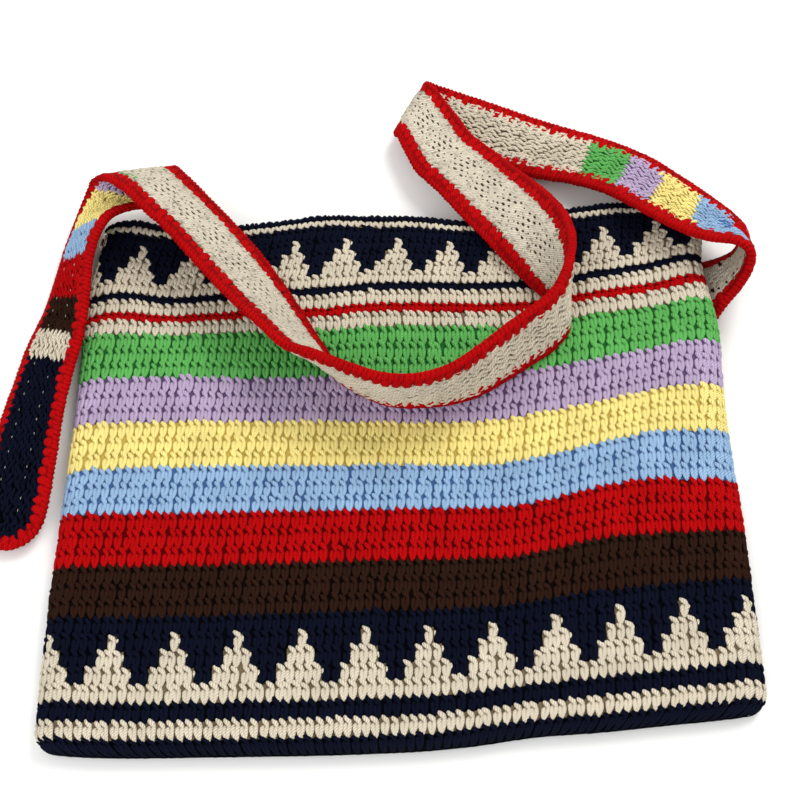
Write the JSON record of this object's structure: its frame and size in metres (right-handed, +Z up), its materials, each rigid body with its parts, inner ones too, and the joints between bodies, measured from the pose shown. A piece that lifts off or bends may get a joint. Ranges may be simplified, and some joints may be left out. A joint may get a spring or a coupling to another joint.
{
  "type": "crochet tote bag",
  "caption": "Flat crocheted tote bag in coloured stripes and triangle borders, with a long striped strap laid loosely over it.",
  "frame": {"origin": "on the flat underside, halfway across the bag and halfway up it", "axes": "+X to the right across the bag, +Y towards its mouth, +Z up from the ground it lies on"},
  "size_m": [0.4369, 0.4283, 0.0678],
  "materials": {
    "bag_yarn": "matte cotton yarn in stripes of navy, beige, brown, red, blue, yellow, lilac and green",
    "strap_yarn": "matte cotton yarn, beige in the middle and striped towards both ends",
    "edging_yarn": "matte red cotton yarn",
    "lace_tape": "cream cotton lace",
    "stud_metal": "polished steel"
  },
  "bodies": {
    "root": {"bag_body": "bag_yarn", "strap_band": "strap_yarn", "strap_edging": "edging_yarn", "strap_tape": "lace_tape", "corner_stud": "stud_metal"}
  },
  "joints": []
}
